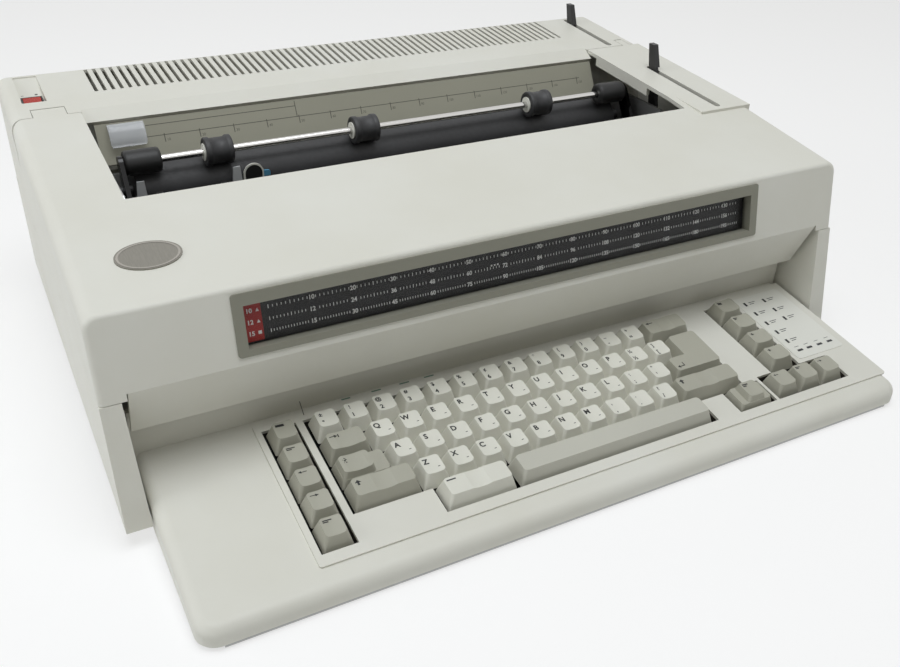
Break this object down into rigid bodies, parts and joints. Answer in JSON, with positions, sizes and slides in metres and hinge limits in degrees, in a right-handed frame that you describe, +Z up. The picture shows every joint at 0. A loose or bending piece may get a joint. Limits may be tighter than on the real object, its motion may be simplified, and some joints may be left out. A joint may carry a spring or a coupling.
{
  "type": "electronic typewriter",
  "caption": "Full-size electronic print-wheel typewriter with a sloping keyboard tray, scale display, hinged top cover, platen, paper bail and print carrier.",
  "frame": {"origin": "middle of the footprint, on the table under the feet", "axes": "+X to the right, +Y from the keyboard to the rear wall, +Z up"},
  "size_m": [0.528, 0.44, 0.182],
  "materials": {
    "case_plastic": "fine texture",
    "bezel_plastic": "matte",
    "window_glass": "clear, tinted",
    "scale_print": "printed",
    "badge_print": "satin",
    "light_keys": "fine texture",
    "dark_keys": "fine texture",
    "plate_steel": "plated sheet",
    "rod_steel": "ground",
    "platen_rubber": "smooth",
    "dark_plastic": "matte",
    "white_plastic": "satin",
    "lever_plastic": "matte",
    "rocker_red": "gloss",
    "clear_plastic": "clear",
    "belt_rubber": "ribbed",
    "board_green": "lacquered"
  },
  "bodies": {
    "case": {"lower_case": "case_plastic", "feet": "platen_rubber", "keyboard_tray": "case_plastic", "tray_floor": "plate_steel", "key_plate": "plate_steel", "rear_cover": "case_plastic", "switch_housing": "dark_plastic", "side_frames": "plate_steel", "carrier_rails": "rod_steel", "platen_motor": "dark_plastic", "paper_chute": "plate_steel", "paper_table": "bezel_plastic", "belt": "belt_rubber", "carrier_motor": "dark_plastic", "power_supply": "plate_steel", "logic_board": "board_green", "mains_inlet": "dark_plastic"},
    "top_cover": {"top_cover": "case_plastic", "display_bezel": "bezel_plastic", "display_window": "window_glass", "scale_card": "scale_print", "badge": "badge_print"},
    "platen": {"platen": "platen_rubber", "platen_gear": "white_plastic"},
    "platen_pinion": {"platen_pinion": "white_plastic"},
    "bail_lever": {"bail_lever": "lever_plastic"},
    "bail_frame": {"bail_frame": "rod_steel", "bail_grips": "dark_plastic"},
    "bail_rollers": {"bail_rollers": "platen_rubber", "bail_hubs": "white_plastic"},
    "release_lever": {"release_lever": "lever_plastic"},
    "feed_arms": {"feed_arms": "rod_steel"},
    "feed_rollers": {"feed_rollers": "platen_rubber"},
    "power_rocker": {"power_rocker": "rocker_red"},
    "carrier": {"carrier": "dark_plastic", "card_guide": "clear_plastic", "ribbon_cassette": "dark_plastic", "wheel_motor": "dark_plastic"},
    "print_wheel": {"print_wheel": "dark_plastic"},
    "tape_spool": {"tape_spool": "dark_plastic"},
    "hammer": {"hammer": "rod_steel"},
    "drive_pulley": {"drive_pulley": "white_plastic"},
    "idler_pulley": {"idler_pulley": "white_plastic"},
    "keys_row_1": {"keys_row_1": "light_keys"},
    "keys_row_2": {"keys_row_2": "light_keys"},
    "keys_row_3": {"keys_row_3": "light_keys"},
    "keys_row_4": {"keys_row_4": "light_keys"},
    "key_backspace": {"key_backspace": "dark_keys"},
    "key_tab": {"key_tab": "dark_keys"},
    "key_lock": {"key_lock": "dark_keys"},
    "key_shift_left": {"key_shift_left": "dark_keys"},
    "key_shift_right": {"key_shift_right": "dark_keys"},
    "key_return": {"key_return": "dark_keys"},
    "key_code": {"key_code": "light_keys"},
    "spacebar": {"spacebar": "light_keys"},
    "key_step": {"key_step": "dark_keys"},
    "keys_left": {"keys_left": "dark_keys"},
    "keys_right_column": {"keys_right_column": "dark_keys"},
    "keys_right_row": {"keys_right_row": "dark_keys"}
  },
  "joints": [
    {"name": "keys_row_1_press", "type": "slide", "parent": "case", "child": "keys_row_1", "axis": [0, 0.1599, -0.9871], "range_m": [0, 0.0038], "stiffness_N_per_m": 1950, "springref_m": -0.003},
    {"name": "keys_row_2_press", "type": "slide", "parent": "case", "child": "keys_row_2", "axis": [0, 0.1599, -0.9871], "range_m": [0, 0.0038], "stiffness_N_per_m": 1800, "springref_m": -0.003},
    {"name": "keys_row_3_press", "type": "slide", "parent": "case", "child": "keys_row_3", "axis": [0, 0.1599, -0.9871], "range_m": [0, 0.0038], "stiffness_N_per_m": 1650, "springref_m": -0.003},
    {"name": "keys_row_4_press", "type": "slide", "parent": "case", "child": "keys_row_4", "axis": [0, 0.1599, -0.9871], "range_m": [0, 0.0038], "stiffness_N_per_m": 1500, "springref_m": -0.003},
    {"name": "key_backspace_press", "type": "slide", "parent": "case", "child": "key_backspace", "axis": [0, 0.1599, -0.9871], "range_m": [0, 0.0038], "stiffness_N_per_m": 150, "springref_m": -0.003},
    {"name": "key_tab_press", "type": "slide", "parent": "case", "child": "key_tab", "axis": [0, 0.1599, -0.9871], "range_m": [0, 0.0038], "stiffness_N_per_m": 150, "springref_m": -0.003},
    {"name": "key_lock_press", "type": "slide", "parent": "case", "child": "key_lock", "axis": [0, 0.1599, -0.9871], "range_m": [0, 0.0038], "stiffness_N_per_m": 150, "springref_m": -0.003},
    {"name": "key_shift_left_press", "type": "slide", "parent": "case", "child": "key_shift_left", "axis": [0, 0.1599, -0.9871], "range_m": [0, 0.0038], "stiffness_N_per_m": 150, "springref_m": -0.003},
    {"name": "key_shift_right_press", "type": "slide", "parent": "case", "child": "key_shift_right", "axis": [0, 0.1599, -0.9871], "range_m": [0, 0.0038], "stiffness_N_per_m": 150, "springref_m": -0.003},
    {"name": "key_return_press", "type": "slide", "parent": "case", "child": "key_return", "axis": [0, 0.1599, -0.9871], "range_m": [0, 0.0038], "stiffness_N_per_m": 300, "springref_m": -0.003},
    {"name": "key_code_press", "type": "slide", "parent": "case", "child": "key_code", "axis": [0, 0.1599, -0.9871], "range_m": [0, 0.0038], "stiffness_N_per_m": 150, "springref_m": -0.003},
    {"name": "spacebar_press", "type": "slide", "parent": "case", "child": "spacebar", "axis": [0, 0.1599, -0.9871], "range_m": [0, 0.0038], "stiffness_N_per_m": 450, "springref_m": -0.003},
    {"name": "key_step_press", "type": "slide", "parent": "case", "child": "key_step", "axis": [0, 0.1599, -0.9871], "range_m": [0, 0.0038], "stiffness_N_per_m": 150, "springref_m": -0.003},
    {"name": "keys_left_press", "type": "slide", "parent": "case", "child": "keys_left", "axis": [0, 0.1599, -0.9871], "range_m": [0, 0.0038], "stiffness_N_per_m": 750, "springref_m": -0.003},
    {"name": "keys_right_column_press", "type": "slide", "parent": "case", "child": "keys_right_column", "axis": [0, 0.1599, -0.9871], "range_m": [0, 0.0038], "stiffness_N_per_m": 600, "springref_m": -0.003},
    {"name": "keys_right_row_press", "type": "slide", "parent": "case", "child": "keys_right_row", "axis": [0, 0.1599, -0.9871], "range_m": [0, 0.0038], "stiffness_N_per_m": 450, "springref_m": -0.003},
    {"name": "cover_hinge", "type": "hinge", "parent": "case", "child": "top_cover", "pos_m": [0, 0.141, 0.1584], "axis": [-1, 0, 0], "range_deg": [0, 55]},
    {"name": "platen_turn", "type": "hinge", "parent": "case", "child": "platen", "pos_m": [0, 0.092, 0.1157], "axis": [1, 0, 0], "continuous": true},
    {"name": "pinion_turn", "type": "hinge", "parent": "case", "child": "platen_pinion", "pos_m": [-0.222, 0.12184, 0.09084], "axis": [1, 0, 0], "continuous": true},
    {"name": "bail_lever_swing", "type": "hinge", "parent": "case", "child": "bail_lever", "pos_m": [0.2352, 0.054, 0.06], "axis": [1, 0, 0], "range_deg": [0, 42]},
    {"name": "bail_swing", "type": "hinge", "parent": "case", "child": "bail_frame", "pos_m": [0, 0.05, 0.1], "axis": [1, 0, 0], "range_deg": [0, 30.1]},
    {"name": "bail_rollers_turn", "type": "hinge", "parent": "bail_frame", "child": "bail_rollers", "pos_m": [0, 0.07699, 0.14202], "axis": [1, 0, 0], "continuous": true},
    {"name": "release_lever_swing", "type": "hinge", "parent": "case", "child": "release_lever", "pos_m": [0.2352, 0.177, 0.07], "axis": [1, 0, 0], "range_deg": [0, 32]},
    {"name": "feed_arms_swing", "type": "hinge", "parent": "case", "child": "feed_arms", "pos_m": [0, 0.132, 0.082], "axis": [1, 0, 0], "range_deg": [0, 7.2], "stiffness_Nm_per_rad": 0.5, "springref_deg": -11.46},
    {"name": "feed_rollers_turn", "type": "hinge", "parent": "feed_arms", "child": "feed_rollers", "pos_m": [0, 0.10575, 0.09188], "axis": [1, 0, 0], "continuous": true},
    {"name": "rocker_tilt", "type": "hinge", "parent": "case", "child": "power_rocker", "pos_m": [-0.2443, 0.1725, 0.15374], "axis": [1, 0, 0], "range_deg": [-10, 10]},
    {"name": "carrier_slide", "type": "slide", "parent": "case", "child": "carrier", "axis": [1, 0, 0], "range_m": [0, 0.31]},
    {"name": "print_wheel_turn", "type": "hinge", "parent": "carrier", "child": "print_wheel", "pos_m": [-0.163, 0.062, 0.083], "axis": [0, 1, 0], "continuous": true},
    {"name": "tape_spool_turn", "type": "hinge", "parent": "carrier", "child": "tape_spool", "pos_m": [-0.1155, 0.043, 0.119], "axis": [0, 1, 0], "continuous": true},
    {"name": "hammer_strike", "type": "slide", "parent": "carrier", "child": "hammer", "axis": [0, 1, 0], "range_m": [0, 0.0045], "stiffness_N_per_m": 200, "springref_m": -0.002},
    {"name": "drive_pulley_turn", "type": "hinge", "parent": "case", "child": "drive_pulley", "pos_m": [-0.238, 0.012, 0.031], "axis": [0, 0, 1], "continuous": true},
    {"name": "idler_pulley_turn", "type": "hinge", "parent": "case", "child": "idler_pulley", "pos_m": [0.226, 0.012, 0.031], "axis": [0, 0, 1], "continuous": true}
  ],
  "couplings": [
    {"joint": "pinion_turn", "follows": "platen_turn", "ratio": -3.4286},
    {"joint": "feed_rollers_turn", "follows": "platen_turn", "ratio": -2.7778},
    {"joint": "bail_swing", "follows": "bail_lever_swing", "ratio": 0.71429},
    {"joint": "feed_arms_swing", "follows": "release_lever_swing", "ratio": 0.22222},
    {"joint": "drive_pulley_turn", "follows": "carrier_slide", "rad_per_m": 110.5},
    {"joint": "idler_pulley_turn", "follows": "carrier_slide", "rad_per_m": 110.5}
  ]
}
